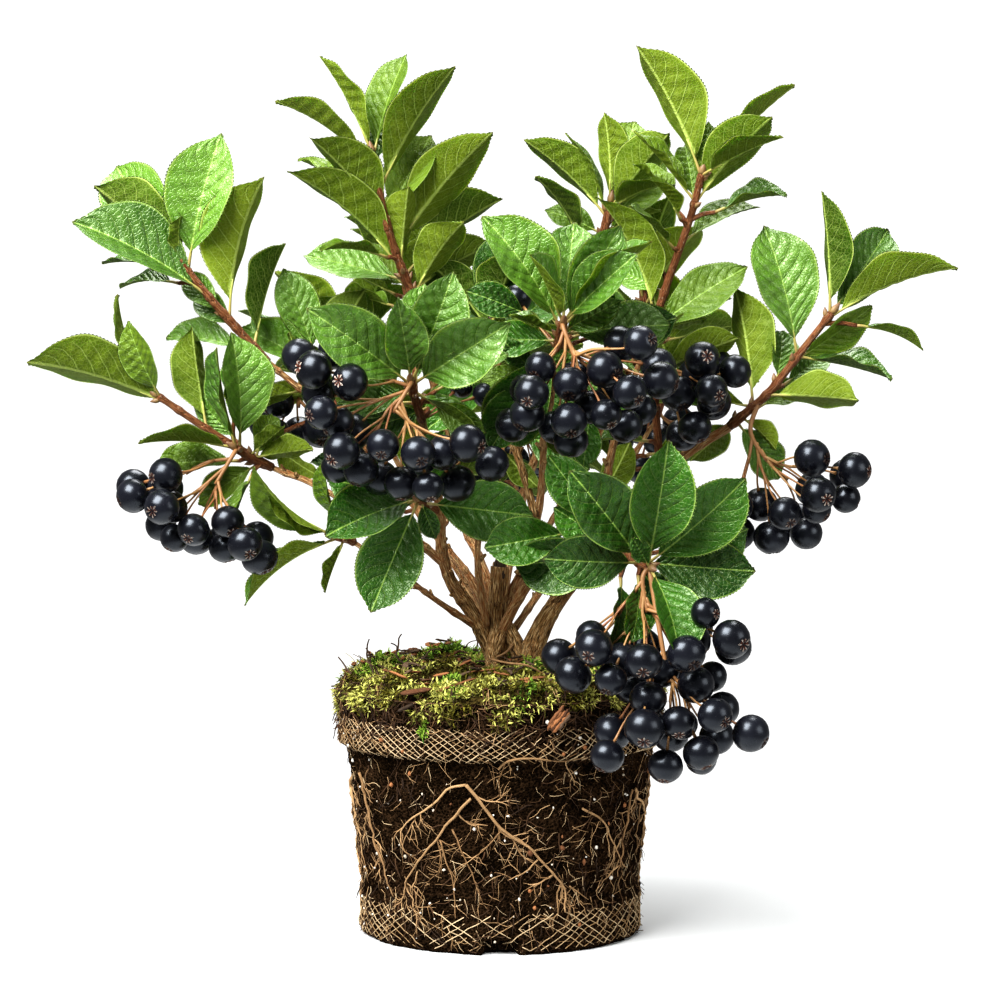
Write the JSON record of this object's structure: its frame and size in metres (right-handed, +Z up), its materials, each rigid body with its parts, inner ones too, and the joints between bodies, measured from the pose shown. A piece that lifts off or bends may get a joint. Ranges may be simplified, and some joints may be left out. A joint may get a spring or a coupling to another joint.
{
  "type": "black chokeberry shrub on its root ball",
  "caption": "Young leafy berry shrub with hanging bunches of black fruit, standing on the moulded root ball from its pot.",
  "frame": {"origin": "middle of the root ball's flat underside", "axes": "+Z up, -Y towards the plant's front, +X to its right as seen from the front"},
  "size_m": [0.4104, 0.288, 0.3968],
  "materials": {
    "soil": "moist dark compost bound with fine roots",
    "moss": "matt moss",
    "bark": "rough bark",
    "leaves": "glossy green leaf",
    "fruit": "blue-black berry with a soft shine",
    "stalks": "smooth young stalk"
  },
  "bodies": {
    "root": {"root_ball": "soil", "moss_cap": "moss", "trunk": "bark", "bough_right_main": "bark", "bough_left_main": "bark", "bough_centre_right": "bark", "bough_tall_left": "bark", "bough_left_high": "bark", "bough_front_right": "bark", "bough_left_low": "bark", "bough_left_thin": "bark", "bough_centre_thin": "bark", "bough_tall_right": "bark", "bough_back_top": "bark", "bough_back_left": "bark", "bough_back_right": "bark", "bough_back_high_left": "bark", "bough_back_high_right": "bark", "bough_back_middle": "bark", "foliage_upper_left": "leaves", "foliage_far_left": "leaves", "foliage_left": "leaves", "foliage_low_left": "leaves", "foliage_top_left": "leaves", "foliage_front_left": "leaves", "foliage_front_low": "leaves", "foliage_back_top": "leaves", "foliage_top_right": "leaves", "foliage_front_centre": "leaves", "foliage_right_inner": "leaves", "foliage_right": "leaves", "foliage_front_right": "leaves", "foliage_centre": "leaves", "foliage_inner_left": "leaves", "foliage_back_left": "leaves", "foliage_back_right": "leaves", "foliage_back_high_left": "leaves", "foliage_back_high_right": "leaves", "foliage_back_middle": "leaves"}
  },
  "joints": []
}
